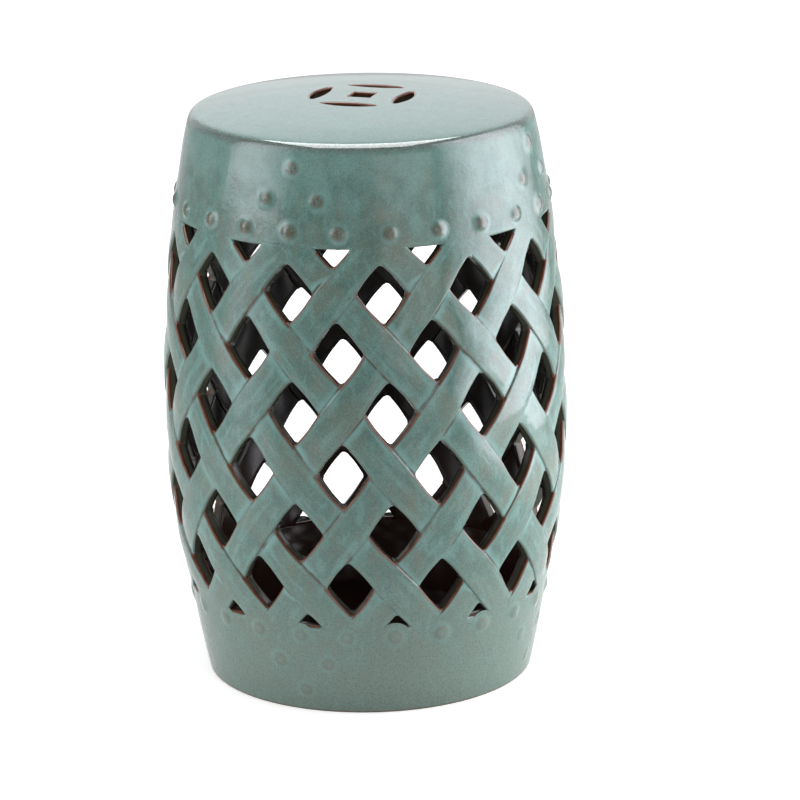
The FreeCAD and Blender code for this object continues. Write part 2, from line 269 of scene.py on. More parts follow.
def finish_piece(piece, slot, material, *nodes):
    """Give a piece its material, the body it moves with and the nodes it stands for. slot is not
    used.
    """
    piece.data.materials.append(material)
    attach(piece, "root")
    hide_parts(*nodes)


# Lattice strips

def weave_place(across, along):
    """Turn and height of a place in the weave. across counts strips that rise to the right and
    along counts strips that rise to the left. Whole numbers are the middles of strips."""
    row = across - along + 1
    turn = FIRST_CROSSING + (ROW_DRIFT - SPACING / 2) * (row - 1) + SPACING * across
    return turn + traced(row, ROWS, ROW_TURNS), traced(row, ROWS, ROW_LEVELS)


def strip_section(half, lift, crown, inner):
    """Closed section of a strip: how far across in mm, the lift, and the "edge" mark. The outer
    face is a crown that falls with the square of the distance, then come a quarter-circle edge,
    a straight cut, a small quarter circle and a flat inner face. half, lift and inner are the
    half width and the lifts of the two faces."""
    face = np.sin(np.linspace(-0.5, 0.5, 17) * math.pi)[None, :]
    bend = np.radians(np.linspace(12, 90, 7))[None, :]
    drop = np.linspace(0, 1, 6)[None, 1:-1]
    turn_in = np.radians(np.linspace(0, 90, 4))[None, :]
    inside = np.linspace(1, -1, 9)[None, 1:-1]
    flat_half = half - EDGE_ROUND
    cut_top = lift - EDGE_ROUND
    cut_foot = inner + INNER_ROUND
    one = np.ones_like(half)
    right_side = [
        (
            flat_half + EDGE_ROUND * np.sin(bend), lift - EDGE_ROUND * (1 - np.cos(bend)),
            EDGE_ROUND * (1 - np.sin(bend)) * one,
        ),
        (half + 0 * drop, cut_top + (cut_foot - cut_top) * drop, CUT_END * drop * one),
        (
            half - INNER_ROUND * (1 - np.cos(turn_in)), inner + INNER_ROUND * (1 - np.sin(turn_in)),
            CUT_END - turn_in * one,
        ),
    ]
    parts = [(flat_half * face, lift + crown * (1 - face**2), half - np.abs(flat_half * face))]
    parts += right_side
    parts.append((
        (half - INNER_ROUND) * inside, inner + 0 * half * inside, INNER + 0 * half * inside,
    ))
    parts += [(-x[:, ::-1], y[:, ::-1], e[:, ::-1]) for x, y, e in reversed(right_side)]
    return [np.concatenate([part[k] + 0 * half for part in parts], axis=1) for k in range(3)]


def strip_marks(edge, past, is_over, height):
    """Marks of a strip by the section's "edge", the share of a spacing by which a place is past
    the strip that it crosses, whether it passes over that one, and its height."""
    on_face, on_inside = edge > 0, edge < CUT_END + 0.1
    beside = np.clip(-past, 0, None) * STRIP_SCALE
    clear = np.clip(past, 0, None) * STRIP_SCALE
    at_crossing = smooth(0, 3, beside) + 0 * edge
    from_band = np.minimum(height - LATTICE_FOOT, LATTICE_TOP - height)
    from_rim = np.sqrt(np.clip(edge, 0, None) ** 2 + beside**2)
    from_rim = from_rim + FAR_EDGE * (1 - smooth(-0.5, 1.5, from_band))
    on_cut = np.where(on_inside, edge, edge + at_crossing * FAR_EDGE)
    hollow = np.where(is_over, FAR_SEAM, np.abs(past) * STRIP_SCALE) + 0 * edge
    ledge = np.where(is_over, np.sqrt(np.clip(edge, 0, None) ** 2 + clear**2), FAR_SEAM)
    fade = FAR_SEAM * (1 - smooth(*SEAM_FADE, from_band))
    return {
        "edge": np.clip(np.where(on_face, from_rim, on_cut), INNER, FAR_EDGE),
        "hollow": np.minimum(hollow + fade, FAR_SEAM),
        "ledge": np.minimum(ledge + fade, FAR_SEAM),
        "cut": np.where(on_inside, 1, np.where(on_face, 0, 1 - at_crossing)),
    }


def lattice_strip(hand, number):
    """One strip of the weave: the section carried along its run. hand is +1 where it rises to
    the right. Its lift is a flattened cosine along the run, up where it passes over the other
    family and down where it passes under. Where it goes under, its sides flare in quarter
    circles that round the corners of the openings."""
    steps = np.concatenate([HALF_STATIONS[:-1], 1 - HALF_STATIONS[:0:-1]])
    rise = (CROSSINGS[:, None] + steps[None, :]).ravel()
    level = traced(1 - rise, ROWS, ROW_LEVELS)
    keep = (level > LATTICE_FOOT - 10) & (level < LATTICE_TOP + 10)
    rise, level = rise[keep][:, None], level[keep][:, None]
    line = number + hand * rise
    nearest = np.round(line)
    is_over = (nearest - number) % 2 == (0 if hand == 1 else 1)
    gap = np.abs(line - nearest)
    share = STRIP_SHARE + LOW_SHARE * (1 - smooth(*LOW_LEVELS, level))
    past = gap - share / 2

    wave = hand * np.cos(math.pi * (line - number))
    wave = wave * (1.5 - 0.5 * wave**2)
    strength = LEAST_STRENGTH + STRENGTH_SPREAD * chance(number, nearest, 1.0 + hand)
    lift = WEAVE_RELIEF * wave * strength
    inner = -WALL + INNER_RELIEF * WEAVE_RELIEF * wave
    # The sides waver a little, in shares of the distance between two strips
    wobble = 0.004 * np.sin(2.3 * rise + 7 * chance(number, hand))
    wobble = wobble + 0.0025 * np.sin(5.1 * rise + number)
    half = (share / 2 - STRIP_WAIST / 2 * smooth(0.2, 0.5, gap) + wobble) * STRIP_SCALE
    across, lifts, edge = strip_section(half, lift, STRIP_CROWN, inner)
    level_lifts = strip_section(half, 0 * lift, 0.0, 0 * inner - WALL)[1]

    side = np.sign(across)
    ahead = np.sign(line - nearest)
    upward = ahead + 0 * side if hand == 1 else side + 0 * ahead
    corner = np.where(upward > 0, CORNER_FOOT, CORNER_TOP)
    corner = np.where(side * ahead > 0, CORNER_SIDE, corner)
    short = np.clip(corner - np.clip(past, 0, None), 0, None)
    flare = np.where(is_over, 0, corner - np.sqrt(corner**2 - short**2))
    offset = across / STRIP_SCALE * (1 + flare * STRIP_SCALE / half)
    if hand == 1:
        turn, height = weave_place(number + offset, line + 0 * offset)
    else:
        turn, height = weave_place(line + 0 * offset, number + offset)

    above_foot, below_top = height - LATTICE_FOOT, LATTICE_TOP - height
    joined = smooth(*JOIN_FOOT, above_foot) * smooth(*JOIN_TOP, below_top)
    sink = smooth(*SINK_FROM, -below_top) + smooth(*SINK_FROM, -above_foot)
    lifts = level_lifts + (lifts - level_lifts) * joined
    lifts = lifts - sink * np.where(level_lifts > -WALL / 2, SINK_OUTER, -SINK_INNER)
    points = on_wall(turn, height, lifts)

    marks = strip_marks(edge, past, is_over, height)
    # Where the streaks lie along and across, moved on from strip to strip so that no two match
    marks["run"] = line * 62 + number * 31 + 0 * across
    marks["off"] = across + number * 17 + hand * 400
    rows, columns = across.shape
    ends = np.stack([points[0].mean(0), points[-1].mean(0)])
    points = np.concatenate([points.reshape(-1, 3), ends])
    marks = {mark: np.append(numbers.ravel(), [0, 0]) for mark, numbers in marks.items()}
    name = "strip_rising_%s_%02d" % ("right" if hand == 1 else "left", number % STRIPS + 1)
    return name, points, [grid_faces(rows, columns), *end_fans(rows, columns)], marks


# Turned pieces

def turned(name, radii, heights, marks):
    """Closed outline of radius and height swept once round the axis. marks holds a rule for
    each mark, from radius, height and turn."""
    angle = np.linspace(0, 2 * math.pi, TURNED_SIDES, endpoint=False)[None, :]
    radii, heights = np.asarray(radii, float)[:, None], np.asarray(heights, float)[:, None]
    points = np.stack(
        [radii * np.sin(angle), -radii * np.cos(angle), heights + 0 * angle], axis=-1
    )
    rows = len(radii)
    loop = np.concatenate([points, points[:1]])
    faces = grid_faces(rows + 1, TURNED_SIDES) % (rows * TURNED_SIDES)
    turn = np.degrees(angle) + 0 * radii
    radii, heights = radii + 0 * angle, heights + 0 * angle
    placed = {mark: rule(radii, heights, turn) for mark, rule in marks.items()}
    return mesh_piece(name, loop[:-1].reshape(-1, 3), [faces], placed)


def nearest_opening(turn, height, row, edge_height, half_width):
    """Distance in mm from the nearest of the small triangles beside a band, whose straight
    side lies at edge_height and is twice half_width long."""
    middle = weave_place(0.5, 1.5 - row)[0]
    aside = np.abs((turn - middle + SPACING / 2) % SPACING - SPACING / 2)
    aside = np.clip(np.radians(aside) * wall_radius(height) - half_width, 0, None)
    return np.sqrt(aside**2 + (height - edge_height) ** 2)


def is_inner(radius, height):
    """Whether a point of a band lies on its inner side."""
    return radius < wall_radius(height) - EDGE_ROUND - 0.5


def constant(number):
    """Rule for a mark that is the same all over a turned piece."""
    return lambda radius, height, turn: 0 * radius + number


FLAT_MARKS = {"hollow": constant(FAR_SEAM), "ledge": constant(FAR_SEAM)}


def band_marks(row, edge_height, half_width):
    """Rules for the marks of a band, by the row and the size of the triangles beside it."""
    def edge(radius, height, turn):
        distance = nearest_opening(turn, height, row, edge_height, half_width)
        return np.where(is_inner(radius, height), INNER, np.clip(distance, 0, FAR_EDGE))

    def cut(radius, height, turn):
        return is_inner(radius, height) & (height > TREAD_EDGE + 0.2)

    return {**FLAT_MARKS, "edge": edge, "cut": cut}


def rounded(centre_r, centre_z, radius, start, end, count):
    """Arc of the outline: radius and height round a centre, from one angle to another."""
    angle = np.radians(np.linspace(start, end, count))
    return centre_r + radius * np.cos(angle), centre_z + radius * np.sin(angle)


def upper_band():
    """Outline of the upper band: traced outer side, straight inner side, round lower edges."""
    z = LATTICE_TOP + EDGE_ROUND
    r_edge, z_edge = rounded(wall_radius(z) - EDGE_ROUND, z, EDGE_ROUND, -90, 0, 9)
    outer = np.concatenate([np.linspace(z, SEAT_JOINT - 2, 60)[1:], [SEAT_JOINT - 1, SEAT_JOINT]])
    inner = np.linspace(SEAT_JOINT, LATTICE_TOP + 1, 12)
    radii = np.concatenate([
        r_edge, wall_radius(outer), wall_radius(inner) - WALL, [wall_radius(z) - WALL + 1],
    ])
    heights = np.concatenate([z_edge, outer, inner, [LATTICE_TOP]])
    return radii, heights


def lower_band():
    """Outline of the lower band: foot ring, traced outer side, inner side that follows it down
    to the floor, and round upper edges."""
    z = LATTICE_FOOT - EDGE_ROUND
    outer = np.linspace(1.6, z, 60)
    r_edge, z_edge = rounded(wall_radius(z) - EDGE_ROUND, z, EDGE_ROUND, 0, 90, 9)
    radii = np.concatenate([
        [118.6, 122.0, 126.0, 126.7, 127.3], wall_radius(outer), r_edge[1:],
        [132.7, 131.9, 127.0, 120.0, FLOOR_RADIUS, FLOOR_RADIUS],
    ])
    heights = np.concatenate([
        [0.0, 0.0, 0.0, 0.25, 0.8], outer, z_edge[1:],
        [LATTICE_FOOT, LATTICE_FOOT - 1, 53.0, 27.0, FLOOR_TOP, TREAD_EDGE],
    ])
    return radii, heights


# Seat

def crown_height(radius):
    """Height of the seat's top: it falls from the middle by a power of the radius."""
    return CROWN_TOP - (CROWN_TOP - RIM_HEIGHT) * (radius / RIM_RADIUS) ** CROWN_POWER


def spun(plan, turn):
    """Plan points turned clockwise, seen from above, by an angle in radians."""
    cosine, sine = math.cos(turn), math.sin(turn)
    return plan @ np.array([[cosine, sine], [-sine, cosine]])


def slot_outline(outer_count, inner_count):
    """Closed outline of a petal slot in the plan of the coin, below its middle: an outer arc
    from left to right and an inner arc back."""
    sides = []
    for (swell, middle), way, count in (
        (SLOT_OUTER, 1, outer_count), (SLOT_INNER, -1, inner_count),
    ):
        radius = SLOT_LENGTH**2 / (8 * swell) + swell / 2
        reach = math.asin(SLOT_LENGTH / 2 / radius)
        angle = np.linspace(-way * reach, way * reach, count + 1)[:-1]
        sides.append(np.stack(
            [radius * np.sin(angle), middle + way * (radius - radius * np.cos(angle))], axis=1
        ))
    return np.concatenate(sides)


def along_path(corners, counts):
    """Points spaced evenly along the straight runs between corners."""
    runs = [
        np.linspace(start, end, count, endpoint=False)
        for start, end, count in zip(corners[:-1], corners[1:], counts)
    ]
    return np.concatenate(runs)


def outward(outline):
    """Unit normals of a closed plan outline that runs anticlockwise."""
    run = np.roll(outline, -1, axis=0) - np.roll(outline, 1, axis=0)
    run = run / np.linalg.norm(run, axis=1, keepdims=True)
    return np.stack([run[:, 1], -run[:, 0]], axis=1)


def plate_border():
    """Border of the front quarter plate, from beside the slot's left tip: out along the joint
    with the next plate, round the arc, in along the other joint and beside the square hole.
    Its points go with those of the slot."""
    hole = SQUARE_HALF + HOLE_ROUND
    rim = PLATE_RADIUS * math.sqrt(0.5)
    left, right = np.array([-1.0, -1.0]), np.array([1.0, -1.0])
    arc = np.radians(np.linspace(-135, -45, ARC_COUNT + 1)[:-1])
    return np.concatenate([
        along_path([PLATE_TIP * left, rim * left], [OUT_COUNT]),
        PLATE_RADIUS * np.stack([np.cos(arc), np.sin(arc)], axis=1),
        along_path(
            [rim * right, PLATE_TIP * right, hole * right, hole * left, PLATE_TIP * left],
            [OUT_COUNT, IN_COUNT, SQUARE_COUNT, IN_COUNT],
        ),
    ])


def hole_profile():
    """Stations from the start of a hole's round edge to the foot of its cut: the distance out of
    the hole's outline, the "edge" mark, the drop, and the share of the slab's thickness."""
    stations = []
    for angle in np.radians(np.linspace(0, 90, 6)):
        out = HOLE_ROUND * (1 - math.sin(angle))
        stations.append((out, out, HOLE_ROUND * (1 - math.cos(angle)), 0.0))
    for share in (0.25, 0.5, 0.75, 1.0):
        stations.append((0.0, CUT_END * share, HOLE_ROUND * (1 - share), share))
    return stations


def slab_block(stations):
    """Plan, height and "edge" marks of rows of points on the slab. Each station has its plan,
    its marks, its drop below the top and its share of the slab's thickness."""
    plan = np.stack([station[0] for station in stations])
    edges = np.stack([station[1] + np.zeros(plan.shape[1]) for station in stations])
    drops, shares = (np.array([station[k] for station in stations])[:, None] for k in (2, 3))
    height = crown_height(np.linalg.norm(plan, axis=-1)) - drops - SEAT_THICKNESS * shares
    return plan, height, edges


def slot_plate():
    """Quarter plate as a grid that runs from its border to the slot on top, over the slot's
    edge, down its cut and back to the border underneath."""
    border = plate_border()
    slot = slot_outline(2 * OUT_COUNT + ARC_COUNT, 2 * IN_COUNT + SQUARE_COUNT)
    normal = outward(slot)
    rim = slot + normal * HOLE_ROUND
    sheet = np.linspace(1, 0, 15)[:-1] ** 1.6
    stations = []
    for share in sheet:
        plan = border * share + rim * (1 - share)
        stations.append((plan, np.linalg.norm(plan - slot, axis=1), 0.0, 0.0))
    stations += [(slot + normal * out, *rest) for out, *rest in hole_profile()]
    stations += [
        (border * share + slot * (1 - share), INNER, 0.0, 1.0) for share in sheet[::-2]
    ]
    stations.append((border, INNER, 0.0, 1.0))
    return slab_block(stations)


def square_ring():
    """Ring round the square hole, on the same stations as the plates' inner sides."""
    front = along_path([np.array([1.0, -1.0]), np.array([-1.0, -1.0])], [SQUARE_COUNT])
    square = np.concatenate([spun(front, -math.pi / 2 * step) for step in range(4)])
    stations = [(square * (SQUARE_HALF + out), *rest) for out, *rest in hole_profile()]
    stations.append((square * (SQUARE_HALF + HOLE_ROUND), INNER, 0.0, 1.0))
    return slab_block(stations)


def seat_rim():
    """Turned outer part of the seat, from the plates out over the roll and back underneath."""
    top_r = np.linspace(PLATE_RADIUS, ROLL_RADII[0], 24)
    run = np.linspace(0, len(ROLL_RADII) - 1, 29)[1:]
    at = np.arange(len(ROLL_RADII))
    under_r = [125.3, 112.8, 95.0, 78.0, PLATE_RADIUS]
    under_z = [SEAT_JOINT, 441.5, 445.0, 447.0, crown_height(PLATE_RADIUS) - SEAT_THICKNESS]
    radii = np.concatenate([top_r, traced(run, at, ROLL_RADII), under_r])
    heights = np.concatenate([crown_height(top_r), traced(run, at, ROLL_HEIGHTS), under_z])
    angle = np.radians(np.linspace(-135, 225, 4 * ARC_COUNT, endpoint=False))
    plan = radii[:, None, None] * np.stack([np.cos(angle), np.sin(angle)], axis=-1)
    on_top = np.arange(len(radii)) < len(radii) - len(under_r)
    edges = np.where(on_top, FAR_EDGE, INNER)[:, None]
    return plan, heights[:, None] + 0 * angle, edges + 0 * angle


def seat_piece():
    """Seat: four plates with a petal slot, the ring round the square hole, and the rim. The coin
    is moved off the middle, and the shift dies away towards the rim."""
    plan, height, edges = slot_plate()
    blocks = [(spun(plan, math.pi / 2 * step), height, edges) for step in range(4)]
    blocks += [square_ring(), seat_rim()]
    points, faces, edge_marks, first = [], [], [], 0
    for plan, height, edges in blocks:
        flat = spun(plan.reshape(-1, 2), math.radians(COIN_TURN))
        near = 1 - smooth(PLATE_RADIUS, COIN_REACH, np.linalg.norm(flat, axis=1, keepdims=True))
        flat = flat + np.array([COIN_MIDDLE]) * near
        points.append(np.concatenate([flat, height.reshape(-1, 1)], axis=1))
        faces.append(grid_faces(*height.shape, first=first))
        edge_marks.append(edges.ravel())
        first += height.size
    edge = np.clip(np.concatenate(edge_marks), INNER, FAR_EDGE)
    far = 0 * edge + FAR_SEAM
    marks = {"edge": edge, "cut": edge < -0.5, "hollow": far, "ledge": far}
    return mesh_piece("seat", np.concatenate(points), faces, marks, merge=0.02)


# Bosses

def boss_cluster(ring_height, away):
    """Turns and heights of the three extra bosses of every cluster, away up or down."""
    middles = CLUSTER_TURN + 360 / CLUSTERS * np.arange(CLUSTERS)
    turns = np.concatenate([middles - CLUSTER_SPREAD, middles + CLUSTER_SPREAD, middles])
    steps = np.repeat([1, 1, 2], CLUSTERS)
    return turns, ring_height + away * CLUSTER_STEP * steps


def boss_group(name, turns, heights, seed, rise):
    """Nail heads that swell out of the band: rings of points round each boss, lifted by
    exp(-(distance / BOSS_WIDTH) ^ BOSS_POWER), with the last ring just under the band's surface.
    A fan to a point inside the wall closes each one. BOSS_SIZE and BOSS_RISE hold the least
    value and how much chance may add."""
    count = len(turns)
    size = (BOSS_SIZE[0] + BOSS_SIZE[1] * chance(np.arange(count), seed))[:, None, None]
    proud = rise * (BOSS_RISE[0] + BOSS_RISE[1] * chance(np.arange(count), seed + 3.0))
    proud = proud[:, None, None]
    round_it = np.radians(np.arange(BOSS_SIDES) * (360 / BOSS_SIDES))[None, None, :]
    distance = BOSS_RINGS[None, :, None] * size
    swell = np.exp(-((BOSS_RINGS / BOSS_WIDTH) ** BOSS_POWER))[None, :, None]
    tucked = BOSS_TUCK * (BOSS_RINGS == BOSS_RINGS[-1])[None, :, None]
    lift = proud * swell - tucked + 0 * round_it
    height = heights[:, None, None] + distance * np.sin(round_it)
    turn = turns[:, None, None] + np.degrees(distance * np.cos(round_it) / wall_radius(height))
    rows, columns = len(BOSS_RINGS), BOSS_SIDES
    centre = on_wall(turns, heights, proud[:, 0, 0])[:, None]
    back = on_wall(turns, heights, np.full(count, -BOSS_ROOT))[:, None]
    grid = on_wall(turn, height, lift).reshape(count, -1, 3)
    points = np.concatenate([grid, centre, back], axis=1).reshape(-1, 3)
    starts = (np.arange(count) * (rows * columns + 2))[:, None, None]
    faces = [
        (block[None] + starts).reshape(-1, block.shape[1])
        for block in (grid_faces(rows, columns), *end_fans(rows, columns))
    ]
    boss = np.broadcast_to(BOSS_RINGS[None, :, None], (count, rows, columns)).reshape(count, -1)
    boss = np.concatenate([boss, np.zeros((count, 1)), np.full((count, 1), 11.0)], axis=1)
    flat = np.zeros(boss.size)
    far = flat + FAR_SEAM
    marks = {"boss": boss, "edge": flat + FAR_EDGE, "cut": flat, "hollow": far, "ledge": far}
    return mesh_piece(name, points, faces, marks)


# Glaze

class Recipe:
    """Shader under construction, with short names for the nodes it is made of. Its place is the
    object's own unless another output of the texture coordinates is named."""

    def __init__(self, tree, place="Object"):
        self.tree = tree
        self.shader = tree.nodes.get("Principled BSDF")
        self.place = self.node("ShaderNodeTexCoord").outputs[place]

    def node(self, kind):
        """New node of a kind."""
        return self.tree.nodes.new(kind)

    def feed(self, socket, source):
        """Link a node's output, or set a plain number or colour."""
        if isinstance(source, bpy.types.NodeSocket):
            self.tree.links.new(source, socket)
        else:
            socket.default_value = source

    def noise(self, scale, detail, roughness, stretch=None, place=None):
        """Noise, scale per metre, from about 0.3 to 0.7."""
        node = self.node("ShaderNodeTexNoise")
        node.inputs["Scale"].default_value = scale
        node.inputs["Detail"].default_value = detail
        node.inputs["Roughness"].default_value = roughness
        place = self.place if place is None else place
        if stretch:
            mapping = self.node("ShaderNodeMapping")
            mapping.inputs["Scale"].default_value = stretch
            self.feed(mapping.inputs["Vector"], place)
            place = mapping.outputs["Vector"]
        self.feed(node.inputs["Vector"], place)
        return node.outputs["Fac"]

    def streaks(self):
        """Noise drawn out along a strip, from the marks of where a point lies on its run."""
        place = self.node("ShaderNodeCombineXYZ")
        self.feed(place.inputs["X"], self.times(self.mark("run"), 0.022))
        self.feed(place.inputs["Y"], self.times(self.mark("off"), 0.13))
        return self.noise(1.0, 3.0, 0.5, place=place.outputs[0])

    def part(self, vector, axis):
        """One part of a vector."""
        node = self.node("ShaderNodeSeparateXYZ")
        self.feed(node.inputs[0], vector)
        return node.outputs[axis]

    def mark(self, name):
        """Number kept on the mesh under a name."""
        node = self.node("ShaderNodeAttribute")
        node.attribute_name = name
        return node.outputs["Fac"]

    def math(self, operation, first, second=0.0):
        """Number made from two numbers."""
        node = self.node("ShaderNodeMath")
        node.operation = operation
        self.feed(node.inputs[0], first)
        self.feed(node.inputs[1], second)
        return node.outputs[0]

    def plus(self, first, second):
        """Sum."""
        return self.math("ADD", first, second)

    def times(self, first, second):
        """Product."""
        return self.math("MULTIPLY", first, second)

    def swing(self, noise, reach):
        """Noise made to swing either side of 0."""
        return self.times(self.math("SUBTRACT", noise, 0.5), reach)

    def vector(self, operation, first, second=None):
        """Outputs of a node that works on vectors."""
        node = self.node("ShaderNodeVectorMath")
        node.operation = operation
        self.feed(node.inputs[0], first)
        if second is not None:
            self.feed(node.inputs[1], second)
        return node.outputs

    def ramp(self, source, low, high, start=0.0, end=1.0, shape="SMOOTHSTEP"):
        """Run from start to end while the source goes from low to high."""
        node = self.node("ShaderNodeMapRange")
        node.interpolation_type = shape
        self.feed(node.inputs["Value"], source)
        numbers = (("From Min", low), ("From Max", high), ("To Min", start), ("To Max", end))
        for name, number in numbers:
            node.inputs[name].default_value = number
        return node.outputs["Result"]

    def between(self, share, first, second):
        """Number between two numbers."""
        node = self.node("ShaderNodeMix")
        for name, source in (("Factor", share), ("A", first), ("B", second)):
            self.feed(node.inputs[name], source)
        return node.outputs["Result"]

    def mix(self, share, first, second):
        """Colour between two colours, which are the node's sockets 6 and 7."""
        node = self.node("ShaderNodeMix")
        node.data_type = "RGBA"
        self.feed(node.inputs[0], share)
        for socket, colour in ((node.inputs[6], first), (node.inputs[7], second)):
            self.feed(socket, colour if isinstance(colour, bpy.types.NodeSocket) else (*colour, 1))
        return node.outputs[2]

    def bump(self, height, distance, strength):
        """Relief from a height, with its distance in metres."""
        node = self.node("ShaderNodeBump")
        node.inputs["Strength"].default_value = strength
        node.inputs["Distance"].default_value = distance
        self.feed(node.inputs["Height"], height)
        return node.outputs["Normal"]


CELADON = (0.100, 0.186, 0.163)
DEEP = (0.062, 0.136, 0.119)
PALE = (0.150, 0.245, 0.215)
MILKY = (0.170, 0.222, 0.195)
TURQUOISE = (0.155, 0.310, 0.295)
CLEAR = (0.158, 0.298, 0.274)
BROWNISH = (0.120, 0.138, 0.108)
DULL = (0.066, 0.092, 0.074)
WORN_LEDGE = (0.115, 0.082, 0.062)
# Painted shade in the crease beside a seam, on the strip that dips
PAINTED_SEAM_SHADE = (0.050, 0.062, 0.048)
UMBER = (0.070, 0.052, 0.038)
RUST = (0.105, 0.032, 0.015)
ORANGE_RUST = (0.150, 0.062, 0.034)
# Painted shade of the inside: near black higher up, brown clay in shade low down
PAINTED_INSIDE_SHADE = (0.011, 0.009, 0.0075)
PAINTED_LOW_CLAY_SHADE = (0.036, 0.016, 0.011)
OLIVE = (0.056, 0.063, 0.046)
CUT_RIM = (0.080, 0.027, 0.014)
SEAT_CUT_RIM = (0.050, 0.018, 0.012)
CLAY = (0.13, 0.075, 0.048)
BOSS_CROWN = (0.088, 0.056, 0.034)
FLOODED_RING = (0.140, 0.105, 0.080)
RIM_BELT = (0.080, 0.070, 0.066)


def celadon(name, extra=None, ripple=0.0003, cut_rim=CUT_RIM, breadth=1.0):
    """Celadon glaze: clouded green with a fine grain, worn brownish in broad patches, turquoise
    where it pools beside seams, painted shade on the dipping strip along each seam, and rust
    where it breaks over the rims that face up. Cuts run from rust at the rim over olive to a
    near-black painted shade, which also covers the inner faces and is brown clay low down.
    ripple is the depth of the relief in metres, and breadth widens the rust."""
    material = bpy.data.materials.new(name)
    material.use_nodes = True
    r = Recipe(material.node_tree)
    fine = r.noise(980, 2.0, 0.75)
    grain = r.noise(480, 3.0, 0.6)
    cloud = r.noise(62, 3.0, 0.55)
    broad = r.noise(19, 2.0, 0.5)
    runs = r.noise(120, 3.0, 0.55, (1, 1, 0.45))
    streak = r.streaks()
    height = r.plus(r.part(r.place, "Z"), r.swing(cloud, 0.08))
    colour = r.mix(r.ramp(cloud, 0.34, 0.66), DEEP, CELADON)
    for source, low, high, start, end, tint in (
        (streak, 0.50, 0.70, 0.0, 0.50, DEEP),
        (streak, 0.30, 0.50, 0.55, 0.0, TURQUOISE),
        (runs, 0.50, 0.68, 0.0, 0.60, BROWNISH),
        (runs, 0.34, 0.46, 0.35, 0.0, TURQUOISE),
        (broad, 0.47, 0.66, 0.0, 0.50, BROWNISH),
        (height, 0.385, 0.445, 0.0, 0.60, CLEAR),
        (height, 0.020, 0.150, 0.75, 0.0, MILKY),
        (fine, 0.48, 0.66, 0.0, 0.42, PALE),
        (fine, 0.36, 0.50, 0.48, 0.0, DULL),
        (grain, 0.50, 0.68, 0.0, 0.18, BROWNISH),
        (grain, 0.34, 0.48, 0.14, 0.0, TURQUOISE),
    ):
        colour = r.mix(r.ramp(source, low, high, start, end), colour, tint)

    # Seams, with pooled glaze and painted shade, and the glaze beside the openings
    waver = r.swing(grain, 1.6)
    wide = r.swing(cloud, 9.0)
    hollow, edge, cut = r.mark("hollow"), r.mark("edge"), r.mark("cut")
    pool = r.ramp(r.plus(hollow, r.plus(waver, wide)), 0.0, 8.0, 1.0, 0.0)
    colour = r.mix(r.times(pool, r.ramp(broad, 0.38, 0.58, 0.35, 1.0)), colour, TURQUOISE)
    near = r.plus(edge, r.plus(waver, r.times(wide, 0.35)))
    colour = r.mix(r.ramp(near, 0.8, 6.0, 0.34, 0.0), colour, TURQUOISE)
    worn = r.ramp(r.plus(r.mark("ledge"), waver), 0.3, 2.0, 0.90, 0.0)
    colour = r.mix(r.times(worn, r.ramp(cloud, 0.42, 0.60, 1.0, 0.20)), colour, WORN_LEDGE)
    # Painted shade on the dipping strip close to each seam
    seam = r.ramp(hollow, 0.2, 2.2, 0.90, 0.0)
    colour = r.mix(r.times(seam, r.ramp(cloud, 0.40, 0.60, 1.0, 0.30)), colour, PAINTED_SEAM_SHADE)
    if extra:
        colour = extra(r, colour, grain, fine)

    # Rust on the rims, and the cuts, which deepen into painted shade
    facing_up = r.ramp(r.part(r.node("ShaderNodeNewGeometry").outputs["Normal"], "Z"), -0.42, 0.18)
    rim = r.plus(edge, r.times(waver, 0.5))
    shade = r.times(r.ramp(rim, 0.8, 3.0, 0.60, 0.0), r.plus(facing_up, 0.25))
    colour = r.mix(shade, colour, UMBER)
    strength = r.ramp(rim, 0.45 * breadth, 1.60 * breadth, 1.0, 0.0)
    strength = r.times(strength, r.plus(facing_up, 0.30))
    colour = r.mix(strength, colour, r.mix(r.ramp(cloud, 0.4, 0.6), RUST, ORANGE_RUST))
    depth = r.plus(edge, r.times(waver, 0.7))
    # Painted shade: deep in the cuts and on all inner faces the glaze is near black, brownish low
    # down
    painted_inside_shade = r.mix(r.ramp(r.part(r.place, "Z"), 0.075, 0.19), PAINTED_LOW_CLAY_SHADE, PAINTED_INSIDE_SHADE)
    cut_colour = r.mix(r.ramp(depth, -6.2, -3.2), painted_inside_shade, OLIVE)
    bare = r.times(r.ramp(depth, -1.8, -0.3), r.plus(facing_up, 0.15))
    colour = r.mix(cut, colour, r.mix(bare, cut_colour, cut_rim))

    r.feed(r.shader.inputs["Base Color"], colour)
    rough = r.plus(r.ramp(cloud, 0.3, 0.7, 0.03, 0.07), r.times(cut, 0.10))
    r.feed(r.shader.inputs["Roughness"], rough)
    r.shader.inputs["IOR"].default_value = 1.5
    shine = r.math("MINIMUM", r.ramp(cut, 0.0, 1.0, 0.5, 0.25), r.ramp(rim, 0.2, 1.6, 0.25, 0.5))
    r.feed(r.shader.inputs["Specular IOR Level"], shine)
    relief = r.plus(r.times(grain, 0.35), r.times(cloud, 2.0))
    relief = r.times(relief, r.math("SUBTRACT", 1.0, cut))
    r.feed(r.shader.inputs["Normal"], r.bump(relief, ripple, 0.7))
    return material


# Additions to the glaze. Each takes the recipe, the colour so far and two noises.

def worn_bosses(r, colour, grain, fine):
    """Speckled brownish crown of a nail head and the glaze pooled round it, by the distance
    from its middle in mm."""
    distance = r.plus(r.mark("boss"), r.swing(grain, 3.5))
    ring = r.times(r.ramp(distance, 4.6, 7.4), r.ramp(distance, 7.0, 11.4, 1.0, 0.0))
    colour = r.mix(r.times(ring, 0.28), colour, TURQUOISE)
    crown = r.times(r.ramp(distance, 3.2, 7.0, 0.90, 0.0), r.ramp(fine, 0.44, 0.56, 0.15, 1.0))
    return r.mix(crown, colour, BOSS_CROWN)


